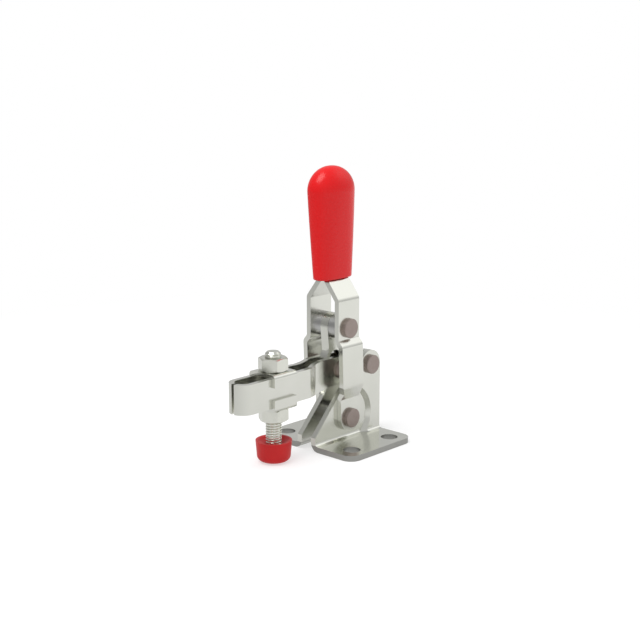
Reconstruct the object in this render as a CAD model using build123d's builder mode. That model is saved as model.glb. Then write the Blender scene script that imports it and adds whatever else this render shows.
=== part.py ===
from build123d import *

import os
from math import atan2, cos, radians, sin, sqrt, tan

# Hold-down toggle clamp with an upright handle, a flanged base and a U-shaped arm.
# +X points to the arm's tip, +Y to the left side, +Z up. The origin is the middle of
# the four bolt holes, on the underside of the base.

# Sheet steel
base_sheet = 2.2
handle_sheet = 2.0
arm_sheet = 2.0
link_sheet = 1.85
washer_sheet = 1.4

# Clearances
pivot_fit = 0.05
side_fit = 0.05
seat_fit = 0.02
slide_fit = 0.1
head_room = 0.5
pin_room = 0.2

# Pivots, as places in the side view
base_pivot_x = 0.0
base_pivot_z = 10.4
arm_pivot_x = -12.3
arm_pivot_z = 29.5
link_pivot_x = 3.15
link_pivot_z = 46.9
toggle_pin_x = 1.5
toggle_pin_z = 29.5

# Rivets
rivet_shank = 5.0
toggle_shank = 4.0
rivet_head = 7.5
rivet_head_height = 1.6
rivet_head_edge = 0.25

# Base
flange_length = 36.0
flange_width = 46.8
flange_corner = 4.5
bolt_spacing_x = 22.0
bolt_spacing_y = 34.4
bolt_hole = 6.6
wall_round = 5.6
wall_front_height = 5.4
press_radius = 11.1
base_bend = 1.4
base_spacer_length = 4.8
base_spacer_diameter = 9.0

# Handle, with its bends as heights and its edges as places along X
handle_foot = 5.4
handle_bend = 1.6
handle_edge_round = 2.0
lower_bend_z = 18.6
lower_flare_z = 20.9
lower_front = 5.6
lower_rear = -4.9
bulge_bend_z = 24.3
bulge_front = 8.2
bulge_rear = -3.5
bulge_top_z = 40.1
upper_bend_z = 42.2
upper_front = 8.9
upper_rear = -2.75
shoulder_z = 57.9
neck_z = 66.1
tang_front = 7.6
tang_rear = -1.4
tang_top_z = 97.0
link_spacer_length = 4.4
link_spacer_diameter = 9.6

# Grip
grip_bottom_z = 64.7
grip_widest_z = 99.0
grip_top_z = 108.2
grip_bottom_x = 3.3
grip_top_x = 4.2
grip_bottom_depth = 17.8
grip_bottom_breadth = 10.8
grip_depth = 20.8
grip_breadth = 15.6
grip_mouth_depth = 2.6

# Link, and the turns in degrees of handle, arm and link from closed to open
link_round = 4.9
link_rim = 1.5
handle_travel = 57.0
arm_travel = 100.15
link_travel = 131.0
path_steps = 12

# Arm
arm_top_z = 33.65
arm_height = 11.25
arm_slot = 6.3
arm_nose_x = 50.9
arm_tip_gap = 1.2
arm_joggle_rear_x = 17.3
arm_joggle_front_x = 21.3
arm_bend = 3.0
arm_rear_round = 5.5
arm_top_slope_rear_x = 14.0
arm_top_slope_front_x = 20.0
arm_bottom_slope_rear_x = 10.0
arm_bottom_slope_front_x = 17.0
arm_bush_diameter = 8.4

# Spindle with its nuts, washers and cap
spindle_x = 35.6
spindle_diameter = 6.0
spindle_top_z = 42.3
spindle_chamfer = 0.8
spindle_head_flats = 9.5
spindle_head_height = 3.8
nut_flats = 10.0
nut_height = 5.0
nut_face = 0.95
washer_length = 11.6
washer_hole = 6.4
washer_bend = 0.8
washer_flap = 3.3
cap_bottom_z = 0.3
cap_height = 8.0
cap_floor = 1.7
cap_rim_diameter = 13.7
cap_foot_diameter = 12.4
cap_foot_round = 2.3
cap_lip = 0.9
cap_funnel_depth = 1.5

# Distances from the middle plane, from the stack of sheets
arm_rear_inner = link_sheet + side_fit
arm_rear_outer = arm_rear_inner + arm_sheet
arm_front_inner = arm_slot / 2
arm_front_outer = arm_front_inner + arm_sheet
wall_inner = arm_rear_outer + side_fit
wall_outer = wall_inner + base_sheet
press_inner = base_spacer_length / 2
press_outer = press_inner + base_sheet
press_step = wall_outer - press_outer
lower_inner = press_outer + side_fit
lower_outer = lower_inner + handle_sheet
bulge_inner = wall_outer + rivet_head_height + head_room
upper_inner = arm_rear_inner + link_spacer_length
upper_outer = upper_inner + handle_sheet
flange_half = flange_width / 2

# Places along X and Z that follow from the sizes above
base_front_x = flange_length / 2
base_rear_x = -flange_length / 2
arm_bottom_z = arm_top_z - arm_height
arm_front_x = arm_nose_x + arm_front_outer

os.makedirs("parts", exist_ok=True)


def facing_left(x, y, z):
    """Gives the plane through a point that faces to the left side, for pins and round parts."""
    return Plane(origin=(x, y, z), z_dir=(0, 1, 0))


def from_middle(y):
    """Gives the side view's plane at a distance to the left of the middle."""
    return Plane.XZ.offset(-y)


def pin_hole(x, z, diameter, fit):
    """Drills a hole for a pin across the part that is being made."""
    with Locations(facing_left(x, 0, z)):
        Hole(diameter / 2 + fit)


def write(piece, name):
    """Labels a finished piece and writes it."""
    piece.part.label = name
    export_step(piece.part, f"parts/{name}.step")


def write_pair(piece, name):
    """Writes the left piece and its mirror image on the right side."""
    write(piece, f"{name}_left")
    with BuildPart() as other_side:
        mirror(piece.part, about=Plane.XZ)
    write(other_side, f"{name}_right")


# Base plate, a wall and a flange folded from one sheet
front_corner = Vector(base_front_x - arm_pivot_x, wall_front_height - arm_pivot_z)
to_tangent = atan2(front_corner.Y, front_corner.X)
to_tangent += atan2(sqrt(front_corner.length**2 - wall_round**2), wall_round)
wall_tangent = (arm_pivot_x + wall_round * cos(to_tangent), arm_pivot_z + wall_round * sin(to_tangent))
wall_top_z = arm_pivot_z + wall_round
press_top_z = base_pivot_z + press_radius / 3
press_shift = base_sheet * (sqrt(2) - 1)
base_outer_bend = base_sheet + base_bend
wall_rear_x = arm_pivot_x - wall_round

# The outer face goes inward about the handle's pivot and ahead of it, over a 45-degree step
pocket_depth = press_step + base_bend
with BuildPart() as press_pocket:
    with Locations(facing_left(base_pivot_x, press_outer, base_pivot_z)):
        Cone(
            press_radius,
            press_radius + pocket_depth,
            pocket_depth,
            align=(Align.CENTER, Align.CENTER, Align.MIN),
        )
    with BuildSketch(from_middle(press_outer)):
        with Locations((base_pivot_x, 0)):
            Rectangle(flange_length, press_top_z, align=(Align.MIN, Align.MIN))
    extrude(amount=-pocket_depth)
    split(bisect_by=Plane.XY.offset(base_sheet), keep=Keep.TOP)

# Elsewhere the inner face stands back by the same step
with BuildPart() as plain_relief:
    with BuildSketch(from_middle(press_inner)):
        Rectangle(2 * flange_length, 4 * wall_top_z)
        with Locations((base_pivot_x, 0)):
            Rectangle(
                flange_length,
                2 * (press_top_z + press_shift),
                align=(Align.MIN, Align.CENTER),
                mode=Mode.SUBTRACT,
            )
    extrude(amount=-press_step)
    with Locations(facing_left(base_pivot_x, press_inner, base_pivot_z)):
        Cone(
            press_radius + press_shift,
            press_radius + press_shift + press_step,
            press_step,
            align=(Align.CENTER, Align.CENTER, Align.MIN),
            mode=Mode.SUBTRACT,
        )


def bend_corner(y, z, radius, start_x, stop_x):
    """Makes what lies between a square corner at y and z and its rounding, for either side of a bend."""
    with BuildPart() as corner:
        with BuildSketch(Plane.YZ.offset(start_x)):
            with Locations((y, z)):
                Rectangle(radius, radius, align=(Align.MIN, Align.MIN))
            with Locations((y + radius, z + radius)):
                Circle(radius, mode=Mode.SUBTRACT)
        extrude(amount=stop_x - start_x)
    return corner.part


with BuildPart() as base_plate:
    with BuildSketch(Plane.YZ.offset(base_rear_x)):
        with BuildLine():
            Polyline(
                (press_inner, 0),
                (flange_half, 0),
                (flange_half, base_sheet),
                (wall_outer, base_sheet),
                (wall_outer, wall_top_z),
                (press_inner, wall_top_z),
                close=True,
            )
        make_face()
    extrude(amount=flange_length)
    fillet(base_plate.edges().sort_by_distance((0, wall_outer, base_sheet))[0], base_bend)
    fillet(base_plate.edges().filter_by(Axis.Z).sort_by(Axis.Y)[-2:], flange_corner)
    with BuildSketch(Plane.XZ):
        with BuildLine():
            Polyline(
                (wall_rear_x, arm_pivot_z),
                (base_rear_x, arm_pivot_z),
                (base_rear_x, 0),
                (base_front_x, 0),
                (base_front_x, wall_front_height),
                wall_tangent,
            )
            ThreePointArc(wall_tangent, (arm_pivot_x, wall_top_z), (wall_rear_x, arm_pivot_z))
        make_face()
    extrude(amount=-flange_width, mode=Mode.INTERSECT)
    add(press_pocket.part, mode=Mode.SUBTRACT)
    add(plain_relief.part, mode=Mode.SUBTRACT)
    # Inside bend along the pressed wall, from where the step meets the flange
    press_foot = sqrt(press_radius**2 - (base_pivot_z - base_sheet) ** 2)
    add(bend_corner(press_outer, base_sheet, base_bend, base_pivot_x - press_foot, base_front_x))
    # Outside of the bends, on the underside
    relief_foot = sqrt((press_radius + press_shift + press_step) ** 2 - base_pivot_z**2)
    add(bend_corner(press_inner, 0, base_outer_bend, base_rear_x, base_front_x), mode=Mode.SUBTRACT)
    plain_stop_x = base_pivot_x - relief_foot
    add(bend_corner(wall_inner, 0, base_outer_bend, base_rear_x, plain_stop_x), mode=Mode.SUBTRACT)
    with Locations((0, bolt_spacing_y / 2, base_sheet)):
        with GridLocations(bolt_spacing_x, 0, 2, 1):
            Hole(bolt_hole / 2)
    pin_hole(base_pivot_x, base_pivot_z, rivet_shank, seat_fit)
    pin_hole(arm_pivot_x, arm_pivot_z, rivet_shank, seat_fit)
write_pair(base_plate, "base_plate")

# Distance ring between the two pressed walls
with BuildPart() as base_spacer:
    with Locations(facing_left(base_pivot_x, 0, base_pivot_z)):
        Cylinder(base_spacer_diameter / 2, base_spacer_length)
    pin_hole(base_pivot_x, base_pivot_z, rivet_shank, seat_fit)
write(base_spacer, "base_spacer")

# Rivets, each one solid across the clamp with a flat head on both sides


def rivet(x, z, half_grip, shank):
    """Makes a rivet whose heads begin at half_grip on both sides."""
    with BuildPart() as blank:
        with Locations(facing_left(x, 0, z)):
            Cylinder(shank / 2, 2 * half_grip)
        for side in (1, -1):
            middle = side * (half_grip + rivet_head_height / 2)
            with Locations(facing_left(x, middle, z)):
                Cylinder(rivet_head / 2, rivet_head_height)
        outer_rims = blank.edges().filter_by(GeomType.CIRCLE).sort_by(Axis.Y)
        chamfer([outer_rims[0], outer_rims[-1]], rivet_head_edge)
    return blank


write(rivet(base_pivot_x, base_pivot_z, lower_outer + side_fit, rivet_shank), "handle_pivot_rivet")
write(rivet(arm_pivot_x, arm_pivot_z, wall_outer, rivet_shank), "arm_pivot_rivet")
write(rivet(link_pivot_x, link_pivot_z, upper_outer, rivet_shank), "link_rivet")
write(rivet(toggle_pin_x, toggle_pin_z, arm_rear_outer, toggle_shank), "toggle_rivet")

# Handle plate, bent outward around the base and back in to the grip
lower_mid = lower_inner + handle_sheet / 2
bulge_mid = bulge_inner + handle_sheet / 2
upper_mid = upper_inner + handle_sheet / 2
tang_mid = handle_sheet / 2

with BuildPart() as handle_plate:
    with BuildSketch(Plane.YZ.offset(-flange_length)):
        with BuildLine():
            FilletPolyline(
                (lower_mid, base_pivot_z - handle_foot),
                (lower_mid, lower_bend_z),
                (bulge_mid, bulge_bend_z),
                (bulge_mid, bulge_top_z),
                (upper_mid, upper_bend_z),
                (upper_mid, shoulder_z),
                (tang_mid, neck_z),
                (tang_mid, tang_top_z),
                radius=handle_bend,
            )
        trace(line_width=handle_sheet)
    extrude(amount=2 * flange_length)
    with BuildSketch(Plane.XZ):
        with BuildLine():
            FilletPolyline(
                (base_pivot_x + handle_foot, base_pivot_z),
                (lower_front, lower_flare_z),
                (bulge_front, bulge_bend_z),
                (upper_front, upper_bend_z),
                (upper_front, grip_bottom_z),
                (tang_front, neck_z),
                (tang_front, tang_top_z),
                radius=handle_edge_round / 2,
            )
            Line((tang_front, tang_top_z), (tang_rear, tang_top_z))
            FilletPolyline(
                (tang_rear, tang_top_z),
                (tang_rear, neck_z),
                (upper_rear, grip_bottom_z),
                (upper_rear, upper_bend_z),
                (bulge_rear, bulge_bend_z),
                (lower_rear, lower_bend_z),
                (base_pivot_x - handle_foot, base_pivot_z),
                radius=handle_edge_round / 2,
            )
            ThreePointArc(
                (base_pivot_x - handle_foot, base_pivot_z),
                (base_pivot_x, base_pivot_z - handle_foot),
                (base_pivot_x + handle_foot, base_pivot_z),
            )
        make_face()
    extrude(amount=-flange_width, mode=Mode.INTERSECT)
    pin_hole(base_pivot_x, base_pivot_z, rivet_shank, pivot_fit)
    pin_hole(link_pivot_x, link_pivot_z, rivet_shank, seat_fit)
write_pair(handle_plate, "handle_plate")

# Rings that keep the link in the middle of the handle
with BuildPart() as link_spacer:
    with Locations(facing_left(link_pivot_x, arm_rear_inner + link_spacer_length / 2, link_pivot_z)):
        Cylinder(link_spacer_diameter / 2, link_spacer_length)
    pin_hole(link_pivot_x, link_pivot_z, rivet_shank, seat_fit)
write_pair(link_spacer, "link_spacer")

# Grip, moulded over both tangs: oval sections that grow upward and close in a dome
grip_height = grip_widest_z - grip_bottom_z
dome_height = grip_top_z - grip_widest_z
body_shares = (0, 0.33, 0.67, 1)
dome_turns = (0, 15, 30, 45, 60, 75, 87)


def oval(z, growth, fullness):
    """Gives a section of the grip: growth is its share from foot to head, fullness its size there."""
    depth = grip_bottom_depth + (grip_depth - grip_bottom_depth) * growth
    breadth = grip_bottom_breadth + (grip_breadth - grip_bottom_breadth) * growth
    middle = grip_bottom_x + (grip_top_x - grip_bottom_x) * growth
    with BuildSketch(Plane.XY.offset(z)) as section:
        with Locations((middle, 0)):
            Ellipse(depth / 2 * fullness, breadth / 2 * fullness)
    return section.sketch


def body_section(share):
    """Gives the section at a share of the body's height, which widens fastest at its foot."""
    return oval(grip_bottom_z + grip_height * share, sin(radians(90 * share)), 1)


def dome_section(turn):
    """Gives a section of the dome, fuller than a half ellipsoid, at a turn in degrees."""
    return oval(grip_widest_z + dome_height * sin(radians(turn)), 1, sqrt(cos(radians(turn))))


# The grip grips the tangs and its mouth opens for the slanting shoulders of the handle
slot_half = handle_sheet + seat_fit
slot_depth = tang_top_z + seat_fit - grip_bottom_z
shoulder_slope = (upper_mid - tang_mid) / (neck_z - shoulder_z)
with BuildPart() as grip:
    loft([body_section(share) for share in body_shares])
    loft([dome_section(turn) for turn in dome_turns])
    with BuildSketch(Plane.XY.offset(grip_bottom_z)):
        with Locations(((tang_front + tang_rear) / 2, 0)):
            Rectangle(tang_front - tang_rear + 2 * seat_fit, 2 * slot_half)
    extrude(amount=slot_depth, mode=Mode.SUBTRACT)
    with BuildSketch(Plane.YZ.offset(upper_rear - seat_fit)):
        with BuildLine():
            Polyline(
                (slot_half, grip_bottom_z + grip_mouth_depth),
                (slot_half + grip_mouth_depth * shoulder_slope, grip_bottom_z),
                (-slot_half - grip_mouth_depth * shoulder_slope, grip_bottom_z),
                (-slot_half, grip_bottom_z + grip_mouth_depth),
                close=True,
            )
        make_face()
    extrude(amount=upper_front - upper_rear + 2 * seat_fit, mode=Mode.SUBTRACT)
write(grip, "grip")

# Link of two flat bars side by side, with a long lower hole: turned evenly with the handle
# and the arm, the toggle pin runs round a narrow loop in the link
pin_radius = toggle_shank / 2 + pin_room
base_pivot = Vector(base_pivot_x, base_pivot_z)
arm_pivot = Vector(arm_pivot_x, arm_pivot_z)
link_pivot = Vector(link_pivot_x, link_pivot_z)
toggle_pin = Vector(toggle_pin_x, toggle_pin_z)


def turned(place, pivot, angle):
    """Turns a place in the side view about a pivot, from +X to +Z."""
    return (place - pivot).rotate(Axis.Z, angle) + pivot


def pin_in_link(share):
    """Gives the toggle pin as the link sees it, at a share of the handle's travel."""
    pin = turned(toggle_pin, arm_pivot, arm_travel * share)
    pin = turned(pin, base_pivot, -handle_travel * share)
    pin = turned(pin, link_pivot, (handle_travel - link_travel) * share)
    return (pin.X, pin.Y)


def hull_of(circles):
    """Gives the smallest outline around some circles of (place, radius)."""
    with BuildSketch(Plane.XZ) as outline:
        with BuildLine():
            for place, radius in circles:
                CenterArc(place, radius, 0, 360)
        make_hull()
    return outline.sketch


pin_places = [pin_in_link(step / path_steps) for step in range(path_steps)]
with BuildPart() as link_plate:
    with BuildSketch(Plane.XZ):
        add(hull_of([((link_pivot_x, link_pivot_z), link_round), ((toggle_pin_x, toggle_pin_z), link_round)]))
        add(hull_of([(place, pin_radius + link_rim) for place in pin_places]))
        add(hull_of([(place, pin_radius) for place in pin_places]), mode=Mode.SUBTRACT)
    extrude(amount=-link_sheet)
    pin_hole(link_pivot_x, link_pivot_z, rivet_shank, pivot_fit)
write_pair(link_plate, "link_plate")

# Arm plate, joggled outward ahead of the link and bent around the nose
arm_rear_mid = arm_rear_inner + arm_sheet / 2
arm_front_mid = arm_front_inner + arm_sheet / 2
arm_rear_x = arm_pivot_x - arm_rear_round

with BuildPart() as arm_plate:
    with BuildSketch(Plane.XY):
        with BuildLine():
            FilletPolyline(
                (arm_rear_x, arm_rear_mid),
                (arm_joggle_rear_x, arm_rear_mid),
                (arm_joggle_front_x, arm_front_mid),
                (arm_nose_x, arm_front_mid),
                radius=arm_bend,
            )
            CenterArc((arm_nose_x, 0), arm_front_mid, 0, 90)
        trace(line_width=arm_sheet)
        with Locations((arm_nose_x, 0)):
            Rectangle(4 * arm_slot, arm_tip_gap, mode=Mode.SUBTRACT)
        with Locations((arm_nose_x, 0)):
            Rectangle(4 * arm_slot, arm_slot, align=(Align.CENTER, Align.MAX), mode=Mode.SUBTRACT)
    extrude(amount=2 * arm_top_z)
    with BuildSketch(Plane.XZ):
        with BuildLine():
            FilletPolyline(
                (arm_pivot_x, arm_pivot_z + arm_rear_round),
                (arm_top_slope_rear_x, arm_pivot_z + arm_rear_round),
                (arm_top_slope_front_x, arm_top_z),
                (arm_front_x, arm_top_z),
                radius=arm_rear_round,
            )
            Line((arm_front_x, arm_top_z), (arm_front_x, arm_bottom_z))
            FilletPolyline(
                (arm_front_x, arm_bottom_z),
                (arm_bottom_slope_front_x, arm_bottom_z),
                (arm_bottom_slope_rear_x, arm_pivot_z - arm_rear_round),
                (arm_pivot_x, arm_pivot_z - arm_rear_round),
                radius=arm_rear_round,
            )
            ThreePointArc(
                (arm_pivot_x, arm_pivot_z - arm_rear_round),
                (arm_rear_x, arm_pivot_z),
                (arm_pivot_x, arm_pivot_z + arm_rear_round),
            )
        make_face()
    extrude(amount=-flange_width, mode=Mode.INTERSECT)
    pin_hole(arm_pivot_x, arm_pivot_z, rivet_shank, pivot_fit)
    pin_hole(toggle_pin_x, toggle_pin_z, toggle_shank, seat_fit)
write_pair(arm_plate, "arm_plate")

# Bush between the arm plates, on the arm's pivot
with BuildPart() as arm_pivot_bush:
    with Locations(facing_left(arm_pivot_x, 0, arm_pivot_z)):
        Cylinder(arm_bush_diameter / 2, 2 * arm_rear_inner)
    pin_hole(arm_pivot_x, arm_pivot_z, rivet_shank, pivot_fit)
write(arm_pivot_bush, "arm_pivot_bush")

# Washers with flaps that hold them on the arm, one above and one below
washer_inner = arm_front_outer + slide_fit
washer_mid = washer_inner + washer_sheet / 2


def flanged_washer(seat_z, up):
    """Makes a washer on the arm's edge at seat_z: up is 1 above the arm and -1 below it."""
    plate_z = seat_z + up * (side_fit + washer_sheet / 2)
    flap_z = plate_z - up * (washer_flap + washer_sheet / 2)
    with BuildPart() as washer:
        with BuildSketch(Plane.YZ.offset(spindle_x - washer_length / 2)):
            with BuildLine():
                FilletPolyline(
                    (washer_mid, flap_z),
                    (washer_mid, plate_z),
                    (-washer_mid, plate_z),
                    (-washer_mid, flap_z),
                    radius=washer_bend,
                )
            trace(line_width=washer_sheet)
        extrude(amount=washer_length)
        with Locations((spindle_x, 0, plate_z)):
            Hole(washer_hole / 2)
    return washer


write(flanged_washer(arm_top_z, 1), "upper_flanged_washer")
write(flanged_washer(arm_bottom_z, -1), "lower_flanged_washer")

# Nuts, hexagons with both faces turned to a shallow cone


def hex_nut(bottom_z):
    """Makes a nut on the spindle that stands on bottom_z."""
    corner = nut_flats / sqrt(3)
    face = nut_flats / 2 * nut_face
    cone = (corner - face) * tan(radians(30))
    with BuildPart() as nut:
        with BuildSketch(Plane.XY.offset(bottom_z)):
            with Locations((spindle_x, 0)):
                RegularPolygon(nut_flats / 2, 6, major_radius=False)
                Circle(spindle_diameter / 2 + pivot_fit, mode=Mode.SUBTRACT)
        extrude(amount=nut_height)
        with BuildSketch(Plane.XZ):
            with BuildLine():
                Polyline(
                    (spindle_x, bottom_z),
                    (spindle_x + face, bottom_z),
                    (spindle_x + corner, bottom_z + cone),
                    (spindle_x + corner, bottom_z + nut_height - cone),
                    (spindle_x + face, bottom_z + nut_height),
                    (spindle_x, bottom_z + nut_height),
                    close=True,
                )
            make_face()
        revolve(axis=Axis((spindle_x, 0, 0), (0, 0, 1)), mode=Mode.INTERSECT)
    return nut


washer_stack = side_fit + washer_sheet
write(hex_nut(arm_top_z + washer_stack), "upper_nut")
write(hex_nut(arm_bottom_z - washer_stack - nut_height), "lower_nut")

# Spindle, a threaded rod with a hexagon head inside the cap
head_bottom_z = cap_bottom_z + cap_floor
head_top_z = head_bottom_z + spindle_head_height
cap_top_z = cap_bottom_z + cap_height
with BuildPart() as spindle:
    with BuildSketch(Plane.XY.offset(head_bottom_z)):
        with Locations((spindle_x, 0)):
            Circle(spindle_diameter / 2)
    extrude(amount=spindle_top_z - head_bottom_z)
    chamfer(spindle.edges().sort_by(Axis.Z)[-1], spindle_chamfer)
    with BuildSketch(Plane.XY.offset(head_bottom_z)):
        with Locations((spindle_x, 0)):
            RegularPolygon(spindle_head_flats / 2, 6, major_radius=False)
    extrude(amount=spindle_head_height)
write(spindle, "spindle")

# Rubber cap, drawn over the spindle's head, with a funnel down to the rod
with BuildPart() as bumper_cap:
    with BuildSketch(Plane.XZ) as cap_profile:
        with BuildLine():
            Polyline(
                (spindle_x, cap_bottom_z),
                (spindle_x + cap_foot_diameter / 2, cap_bottom_z),
                (spindle_x + cap_rim_diameter / 2, cap_top_z),
                (spindle_x + cap_rim_diameter / 2 - cap_lip, cap_top_z),
                (spindle_x + spindle_diameter / 2 + seat_fit, cap_top_z - cap_funnel_depth),
                (spindle_x, cap_top_z - cap_funnel_depth),
                close=True,
            )
        make_face()
        cap_foot = cap_profile.vertices().group_by(Axis.Y)[0].sort_by(Axis.X)[-1]
        fillet(cap_foot, cap_foot_round)
    revolve(axis=Axis((spindle_x, 0, 0), (0, 0, 1)))
    with BuildSketch(Plane.XY.offset(head_bottom_z - seat_fit)):
        with Locations((spindle_x, 0)):
            RegularPolygon(spindle_head_flats / 2 + seat_fit, 6, major_radius=False)
    extrude(amount=spindle_head_height + 2 * seat_fit, mode=Mode.SUBTRACT)
    with BuildSketch(Plane.XY.offset(head_top_z)):
        with Locations((spindle_x, 0)):
            Circle(spindle_diameter / 2 + seat_fit)
    extrude(amount=cap_height, mode=Mode.SUBTRACT)
write(bumper_cap, "bumper_cap")
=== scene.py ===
from math import cos, pi, radians, sin

import bmesh
import bpy
import numpy as np
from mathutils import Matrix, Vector


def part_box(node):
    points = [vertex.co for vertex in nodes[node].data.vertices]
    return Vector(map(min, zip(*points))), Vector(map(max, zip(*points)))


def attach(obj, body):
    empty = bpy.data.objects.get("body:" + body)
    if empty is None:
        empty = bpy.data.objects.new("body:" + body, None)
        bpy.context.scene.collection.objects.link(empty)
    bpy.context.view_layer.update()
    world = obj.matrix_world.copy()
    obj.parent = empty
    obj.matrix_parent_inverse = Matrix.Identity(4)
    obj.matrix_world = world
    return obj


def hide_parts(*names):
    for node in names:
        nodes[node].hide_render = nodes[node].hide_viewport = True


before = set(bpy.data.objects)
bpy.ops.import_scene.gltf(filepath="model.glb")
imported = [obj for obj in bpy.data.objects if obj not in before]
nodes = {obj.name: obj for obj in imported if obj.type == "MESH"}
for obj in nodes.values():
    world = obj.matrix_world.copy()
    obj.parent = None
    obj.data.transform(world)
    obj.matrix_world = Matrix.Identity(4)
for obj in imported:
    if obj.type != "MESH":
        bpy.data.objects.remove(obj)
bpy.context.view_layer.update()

# Camera, in millimetres from the middle of the bolt holes, and in degrees
camera_place = (340.55, 308.80, 149.40)
camera_azimuth = 46.92
camera_elevation = 12.41
camera_sensor = 36.0
camera_lens = 68.4

# Spindle, in millimetres
rod_radius = 3.0
rod_end_chamfer = 0.8
thread_pitch = 1.0
thread_depth = 0.35
head_height = 3.8
head_flats = 9.5
head_edge = 0.3

# Grip, in millimetres apart from its exponents: a pair gives a value at the mouth and its growth
# up to the widest place
mouth_rise = 0.7
dome_height = 9.4
dome_power = 0.96
grip_middle = (3.3, 0.9)
grip_half_depth = (8.9, 1.5)
grip_half_breadth = (4.0, 2.9)
grip_exponent = (3.0, -0.8)

# Mouth of the grip: from the middle of its closed recess, over the lip, to the outside
lip_levels = (1.6, 1.6, 0.25, 0.0, 0.0, 0.25)
lip_insets = (9.0, 0.62, 0.62, 0.45, 0.2, 0.0)

# Points around each new piece, and rows of points along the rod, the grip's body and its dome
columns = 96
rod_rows_per_mm = 10
grip_body_rows = 39
grip_dome_rows = 23

# The sharpest angle that is shaded smooth, in degrees, and the distance under which points
# become one, in metres
smooth_angle = 35
join_distance = 1e-7

# Flange: the height below which its upright sides are darker and duller, in millimetres
dark_rim_below = 2.6

# Room: the directions of its window and of the clamp's front right and rear left, and strengths
to_the_window = (-0.71, 0.38, 0.59)
to_front_right = (0.72, -0.68, 0.0)
to_rear_left = (-0.72, 0.68, 0.0)
room_level = 0.60
room_shade = 0.28
window_level = 0.8
window_focus = 16
white = (1, 1, 1, 1)

# Lamp above, in metres and watts
lamp_place = (0.34, -0.06, 0.70)
lamp_aim = (0.02, 0, 0.05)
lamp_width = 0.5
lamp_power = 4.0

# Floor, in metres: its plain white comes in beyond its near part, by a share for each metre
floor_half = 3.0
floor_level = -0.0001
floor_near = 0.12
floor_fade_per_metre = 5.5
seen_matte = 0.5
seen_glow = 0.56

# Floor as the clamp mirrors it: its glow goes from the first strength to the second towards the
# rear left, from a share in the middle and by a share for each metre
mirrored_matte = 0.42
mirrored_glow = (0.04, 0.66)
mirrored_middle = 0.55
mirrored_per_metre = 1.6


def place_camera():
    """Sets the camera at its place, level, turned by its azimuth and elevation."""
    azimuth = radians(camera_azimuth)
    elevation = radians(camera_elevation)
    back = Vector((sin(azimuth) * cos(elevation), cos(azimuth) * cos(elevation), sin(elevation)))
    lens = bpy.data.cameras.new("camera")
    lens.sensor_width = camera_sensor
    lens.lens = camera_lens
    lens.clip_start = 0.01
    camera = bpy.data.objects.new("camera", lens)
    camera.location = Vector(camera_place) / 1000
    camera.rotation_euler = back.to_track_quat("Z", "Y").to_euler()
    bpy.context.scene.collection.objects.link(camera)
    bpy.context.scene.camera = camera


class Socket:
    """One output in a finish's nodes, so that sums and products of values read as plain maths."""

    def __init__(self, tree, link):
        self.tree = tree
        self.link = link

    def math(self, operation, other, swap=False):
        first, second = (other, self) if swap else (self, other)
        return self.tree.add("ShaderNodeMath", {"operation": operation}, {0: first, 1: second})

    def __add__(self, other):
        return self.math("ADD", other)

    def __radd__(self, other):
        return self.math("ADD", other, True)

    def __sub__(self, other):
        return self.math("SUBTRACT", other)

    def __rsub__(self, other):
        return self.math("SUBTRACT", other, True)

    def __mul__(self, other):
        return self.math("MULTIPLY", other)

    def __pow__(self, other):
        return self.math("POWER", other)

    def clamp(self):
        return self.math("MINIMUM", 1.0).math("MAXIMUM", 0.0)


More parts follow.
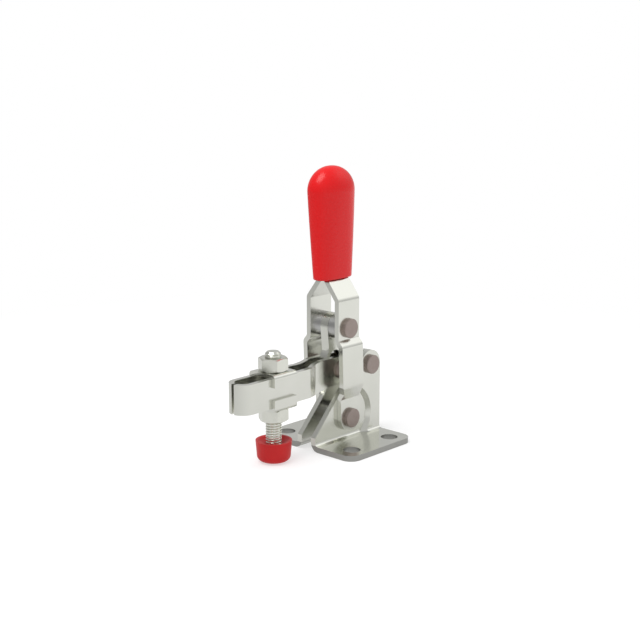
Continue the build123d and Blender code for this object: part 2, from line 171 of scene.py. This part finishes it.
class Finish:
    """The nodes of a new material, or of a new world."""

    def __init__(self, name, kept_in=None):
        self.owner = (bpy.data.materials if kept_in is None else kept_in).new(name)
        self.owner.use_nodes = True
        self.nodes = self.owner.node_tree.nodes
        self.links = self.owner.node_tree.links
        self.nodes.clear()

    def add(self, kind, settings, inputs, output=0):
        """Adds one node: its settings come first, then the values or links of its sockets."""
        node = self.nodes.new(kind)
        for key, value in settings.items():
            setattr(node, key, value)
        for key, value in inputs.items():
            if isinstance(value, Socket):
                self.links.new(value.link, node.inputs[key])
            else:
                node.inputs[key].default_value = value
        return Socket(self, node.outputs[output]) if node.outputs else None

    def place(self, scale=(1, 1, 1)):
        """Gives the place on the object, in metres, stretched by scale."""
        spot = self.add("ShaderNodeTexCoord", {}, {}, "Object")
        return self.add("ShaderNodeVectorMath", {"operation": "MULTIPLY"}, {0: spot, 1: scale})

    def noise(self, size_mm, detail=2.0, stretch=(1, 1, 1)):
        """Gives a soft noise from 0 to 1 whose patches are about size_mm wide."""
        scale = tuple(1000 / size_mm * part for part in stretch)
        return self.add(
            "ShaderNodeTexNoise",
            {"noise_dimensions": "3D"},
            {"Vector": self.place(scale), "Scale": 1.0, "Detail": detail, "Roughness": 0.5},
        )

    def mix(self, factor, first, second):
        """Mixes two colours."""
        return self.add("ShaderNodeMix", {"data_type": "RGBA"}, {0: factor, 6: first, 7: second}, 2)

    def part(self, vector, axis):
        """Gives one part of a vector: 0 for x, 1 for y, 2 for z."""
        return self.add("ShaderNodeSeparateXYZ", {}, {0: vector}, axis)

    def along(self, vector, direction):
        """Gives how far a vector goes in a direction."""
        inputs = {0: vector, 1: direction}
        return self.add("ShaderNodeVectorMath", {"operation": "DOT_PRODUCT"}, inputs, 1)

    def bump(self, height, strength, distance_mm):
        """Turns a height into a slight tilt of the surface."""
        return self.add(
            "ShaderNodeBump",
            {},
            {"Height": height, "Strength": strength, "Distance": distance_mm / 1000},
        )

    def glow(self, strength):
        """Gives a surface that shines white by itself."""
        return self.add("ShaderNodeEmission", {}, {"Color": white, "Strength": strength})

    def matte(self, level):
        """Gives a matte grey surface, which takes shadow."""
        return self.add("ShaderNodeBsdfDiffuse", {}, {"Color": (level, level, level, 1)})

    def both(self, first, second):
        """Adds two shaders."""
        return self.add("ShaderNodeAddShader", {}, {0: first, 1: second})

    def either(self, factor, first, second):
        """Mixes two shaders: the first at factor 0, the second at factor 1."""
        return self.add("ShaderNodeMixShader", {}, {0: factor, 1: first, 2: second})

    def surface(self, inputs):
        """Ends the material in one Principled surface."""
        shader = self.add("ShaderNodeBsdfPrincipled", {}, inputs)
        self.add("ShaderNodeOutputMaterial", {}, {"Surface": shader})
        return self.owner


def plated_sheet(name, rim=False):
    """Bright plated sheet: soft clouds in its grey and its gloss, a fine grain and rolling waves.

    With rim, the upright sides of the flange low down are duller and darker:
    fully where the normal's z is under 0.2, and fading out towards 0.53.
    """
    finish = Finish(name)
    clouds = finish.noise(9.0, 3.0)
    grain = finish.noise(0.5, 2.0, (1, 1, 3))
    wave = finish.noise(14.0, 1.0)
    colour = finish.mix(clouds, (0.66, 0.67, 0.61, 1), (0.75, 0.75, 0.70, 1))
    roughness = 0.22 + (clouds - 0.5) * 0.12 + (grain - 0.5) * 0.05
    if rim:
        facing = finish.add("ShaderNodeTexCoord", {}, {}, "Normal")
        level_mm = finish.part(finish.place((1000, 1000, 1000)), 2)
        upright = (1.6 - finish.part(facing, 2).math("ABSOLUTE", 0.0) * 3).clamp()
        # Darker, duller grey low on the flange's upright sides
        dark_rim = upright * ((dark_rim_below - level_mm) * 4).clamp()
        colour = finish.mix(dark_rim, colour, (0.36, 0.36, 0.34, 1))
        roughness = roughness + dark_rim * 0.15
    return finish.surface(
        {
            "Base Color": colour,
            "Metallic": 1.0,
            "Roughness": roughness,
            "Normal": finish.bump(wave * 0.8 + grain * 0.06, 0.35, 0.12),
        }
    )


def rivet_steel():
    """Satin rivet: pinkish grey, with the fine marks of the upsetting die."""
    finish = Finish("rivet_steel")
    marks = finish.noise(0.35, 3.0)
    clouds = finish.noise(2.5, 2.0)
    return finish.surface(
        {
            "Base Color": finish.mix(clouds, (0.31, 0.25, 0.225, 1), (0.38, 0.32, 0.295, 1)),
            "Metallic": 0.85,
            "Roughness": 0.42 + (marks - 0.5) * 0.2,
            "Normal": finish.bump(marks, 0.25, 0.05),
        }
    )


def ring_steel():
    """Turned ring: dull grey steel with fine lathe lines around it."""
    finish = Finish("ring_steel")
    lines = finish.noise(0.3, 2.0, (0.2, 3, 0.2))
    return finish.surface(
        {
            "Base Color": finish.mix(lines, (0.46, 0.46, 0.45, 1), (0.56, 0.56, 0.55, 1)),
            "Metallic": 1.0,
            "Roughness": 0.34 + (lines - 0.5) * 0.12,
            "Normal": finish.bump(lines, 0.2, 0.03),
        }
    )


def fastener_steel():
    """Bright plated nut and rod: a little lighter than the sheet, with a fine grain."""
    finish = Finish("fastener_steel")
    clouds = finish.noise(3.0, 2.0)
    grain = finish.noise(0.3, 2.0)
    return finish.surface(
        {
            "Base Color": finish.mix(clouds, (0.68, 0.69, 0.62, 1), (0.78, 0.78, 0.72, 1)),
            "Metallic": 1.0,
            "Roughness": 0.24 + (grain - 0.5) * 0.1,
            "Normal": finish.bump(clouds * 0.5 + grain * 0.1, 0.25, 0.05),
        }
    )


def grip_red():
    """Glossy moulded grip: an even signal red with a very fine orange peel."""
    finish = Finish("grip_red")
    peel = finish.noise(1.4, 2.0)
    tone = finish.noise(18.0, 2.0)
    return finish.surface(
        {
            "Base Color": finish.mix(tone, (0.76, 0.009, 0.011, 1), (0.79, 0.011, 0.013, 1)),
            "Roughness": 0.27 + (peel - 0.5) * 0.04,
            "Specular IOR Level": 0.27,
            "Normal": finish.bump(peel, 0.10, 0.004),
        }
    )


def cap_red_and_shade():
    """Red rubber: a duller red with a fine moulded grain, darker than the grip partly as its own
    colour and partly as painted shade.
    """
    finish = Finish("cap_red_and_shade")
    grain = finish.noise(0.5, 3.0)
    tone = finish.noise(6.0, 2.0)
    return finish.surface(
        {
            # Base red darker than the grip's: partly the rubber's own red, partly painted shade for
            # the cap's low, side-lit place
            "Base Color": finish.mix(tone, (0.56, 0.010, 0.012, 1), (0.68, 0.018, 0.018, 1)),
            "Roughness": 0.40 + (grain - 0.5) * 0.15,
            "Specular IOR Level": 0.3,
            "Normal": finish.bump(grain, 0.2, 0.06),
        }
    )


def paint(names, material):
    """Gives CAD pieces a material in place of their own."""
    for name in names:
        mesh = nodes[name].data
        mesh.materials.clear()
        mesh.materials.append(material)


def grid_mesh(name, points):
    """Makes a closed piece from a grid of points, rows along it and columns around it.

    Each face joins four neighbours and the last column joins the first. The first and the last
    row are points drawn together, and those become one vertex each.
    """
    index = np.arange(points.shape[0] * columns).reshape(-1, columns)
    following = np.roll(index, -1, axis=1)
    corners = [index[:-1], following[:-1], following[1:], index[1:]]
    faces = np.stack(corners, axis=-1).reshape(-1, 4)
    mesh = bpy.data.meshes.new(name)
    mesh.from_pydata(points.reshape(-1, 3).tolist(), [], faces.tolist())
    shape = bmesh.new()
    shape.from_mesh(mesh)
    bmesh.ops.remove_doubles(shape, verts=shape.verts, dist=join_distance)
    shape.to_mesh(mesh)
    shape.free()
    mesh.shade_smooth()
    mesh.set_sharp_from_angle(angle=radians(smooth_angle))
    piece = bpy.data.objects.new(name, mesh)
    bpy.context.scene.collection.objects.link(piece)
    return piece


def threaded_spindle():
    """Makes the M6 spindle with its hexagon head.

    The rod's radius is a wave of the height less the turn, so that it climbs one pitch in each
    turn: a flat crest half a pitch wide, and between crests a groove with straight sides. A cone
    over the end's chamfer caps it. The head's radius is half its width across flats over the
    cosine of the turn within one flat.
    """
    low, high = np.array(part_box("spindle")) * 1000
    head_top = low[2] + head_height
    turn = np.linspace(0, 2 * pi, columns, endpoint=False)
    heights = np.linspace(head_top, high[2], int((high[2] - head_top) * rod_rows_per_mm) + 1)
    phase = (heights[:, None] / thread_pitch - turn[None, :] / (2 * pi)) % 1.0
    groove = np.clip(np.abs(phase - 0.5) * 4 - 1, 0, 1)
    end_cone = rod_radius - rod_end_chamfer + (high[2] - heights)[:, None]
    rod = np.minimum(rod_radius - thread_depth * groove, end_cone)
    within_flat = (turn + pi / 6) % (pi / 3) - pi / 6
    hexagon = head_flats / 2 / np.cos(within_flat)
    drawn_in = np.zeros(columns)
    head = [drawn_in, hexagon - head_edge, hexagon, hexagon, hexagon - head_edge]
    head_levels = [low[2], low[2], low[2] + head_edge, head_top - head_edge, head_top]
    spread = np.array(head + list(rod) + [drawn_in])
    up = np.array(head_levels + list(heights) + [high[2]])[:, None] + drawn_in
    centre_x = (low[0] + high[0]) / 2
    points = np.stack([centre_x + spread * np.cos(turn), spread * np.sin(turn), up], axis=-1)
    return grid_mesh("threaded_spindle", points / 1000)


def moulded_grip():
    """Makes the grip: flat-sided at its mouth, rounder and wider upward, with a round dome.

    Each section is a superellipse. Its exponent, depth and breadth change evenly with height up
    to the widest place. Above that, the dome's sections shrink nearly with the cosine of the
    angle whose sine is the height, as on an ellipsoid. The mouth is a rounded lip around a
    shallow recess with a closed floor.
    """
    low, high = np.array(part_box("grip")) * 1000
    mouth, widest, top = low[2] + mouth_rise, high[2] - dome_height, high[2]
    turn = np.linspace(0, 2 * pi, columns, endpoint=False)
    share = np.linspace(0, 1, grip_body_rows + 1)[1:]
    arc = np.linspace(0, pi / 2, grip_dome_rows + 1)[1:]
    lip = np.array(lip_levels)
    body_levels = mouth + (widest - mouth) * share
    dome_levels = widest + (top - widest) * np.sin(arc)
    level = np.concatenate([mouth + lip, body_levels, dome_levels])
    growth = np.concatenate([np.zeros(lip.size), share, np.ones(arc.size)])
    size = np.concatenate([np.ones(lip.size + share.size), np.cos(arc) ** dome_power])
    inset = np.concatenate([lip_insets, np.zeros(share.size + arc.size)])

    def grown(pair):
        return pair[0] + pair[1] * growth

    depth = np.maximum(grown(grip_half_depth) * size - inset, 0)[:, None]
    breadth = np.maximum(grown(grip_half_breadth) * size - inset, 0)[:, None]
    power = 2 / grown(grip_exponent)[:, None]
    across, along = np.cos(turn)[None, :], np.sin(turn)[None, :]
    x = grown(grip_middle)[:, None] + depth * np.sign(across) * np.abs(across) ** power
    y = breadth * np.sign(along) * np.abs(along) ** power
    points = np.stack([x, y, level[:, None] + np.zeros_like(x)], axis=-1)
    return grid_mesh("moulded_grip", points / 1000)


def light_the_scene():
    """White room: a bright window high at the rear left, darker front right, soft lamp above.

    The room's strength is an even level, less a share of how far a direction goes to the front
    right, plus a lobe: the cosine to the window's direction, raised to its focus. The camera
    itself sees plain white.
    """
    scene = bpy.context.scene
    scene.view_settings.view_transform = "Standard"
    room = Finish("room", bpy.data.worlds)
    way = room.add("ShaderNodeTexCoord", {}, {}, "Generated")
    camera_ray = room.add("ShaderNodeLightPath", {}, {}, "Is Camera Ray")
    window = room.along(way, to_the_window).clamp() ** window_focus
    shade = room.along(way, to_front_right).clamp()
    strength = room_level - shade * room_shade + window * window_level
    lit = room.add("ShaderNodeBackground", {}, {"Color": white, "Strength": strength})
    plain = room.add("ShaderNodeBackground", {}, {"Color": white, "Strength": 1.0})
    room.add("ShaderNodeOutputWorld", {}, {"Surface": room.either(camera_ray, lit, plain)})
    scene.world = room.owner

    panel = bpy.data.lights.new("above", "AREA")
    panel.shape = "SQUARE"
    panel.size = lamp_width
    panel.energy = lamp_power
    lamp = bpy.data.objects.new("above", panel)
    lamp.location = lamp_place
    lamp.rotation_euler = (Vector(lamp_place) - Vector(lamp_aim)).to_track_quat("Z", "Y").to_euler()
    scene.collection.objects.link(lamp)


def lay_the_floor():
    """White floor that keeps a faint soft shadow near the clamp and goes on as plain white.

    For the camera, it turns from matte with some glow to plain white between 0.12 and 0.3 m from
    the middle. For other rays it is brighter at the rear left than at the front right.
    """
    across = (-floor_half, floor_half, floor_half, -floor_half)
    along = (-floor_half, -floor_half, floor_half, floor_half)
    mesh = bpy.data.meshes.new("floor")
    mesh.from_pydata([(x, y, floor_level) for x, y in zip(across, along)], [], [(0, 1, 2, 3)])
    floor = bpy.data.objects.new("floor", mesh)
    bpy.context.scene.collection.objects.link(floor)
    finish = Finish("floor_white")
    spot = finish.place()
    reach = finish.add("ShaderNodeVectorMath", {"operation": "LENGTH"}, {0: spot}, 1)
    far = ((reach - floor_near) * floor_fade_per_metre).clamp()
    rear = (finish.along(spot, to_rear_left) * mirrored_per_metre + mirrored_middle).clamp()
    camera_ray = finish.add("ShaderNodeLightPath", {}, {}, "Is Camera Ray")
    near = finish.both(finish.matte(seen_matte), finish.glow(seen_glow))
    seen = finish.either(far, near, finish.glow(1.0))
    front_glow, rear_glow = (finish.glow(strength) for strength in mirrored_glow)
    side_glow = finish.either(rear, front_glow, rear_glow)
    mirrored = finish.both(finish.matte(mirrored_matte), side_glow)
    shown = finish.either(camera_ray, mirrored, seen)
    finish.add("ShaderNodeOutputMaterial", {}, {"Surface": shown})
    mesh.materials.append(finish.owner)


place_camera()

sheets = [name for name in nodes if "_plate_" in name or "washer" in name]
paint([name for name in sheets if "base" not in name], plated_sheet("plated_sheet"))
paint([name for name in sheets if "base" in name], plated_sheet("plated_base", True))
paint([name for name in nodes if name.endswith("_rivet")], rivet_steel())
paint([name for name in nodes if "spacer" in name or "bush" in name], ring_steel())
bright = fastener_steel()
red = grip_red()
paint(["upper_nut", "lower_nut", "spindle"], bright)
paint(["grip"], red)
paint(["bumper_cap"], cap_red_and_shade())

for piece, node, body, slot, material in (
    (threaded_spindle(), "spindle", "spindle", "fastener_steel", bright),
    (moulded_grip(), "grip", "handle", "red_plastic", red),
):
    piece.data.materials.append(material)
    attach(piece, body)
    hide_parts(node)

light_the_scene()
lay_the_floor()
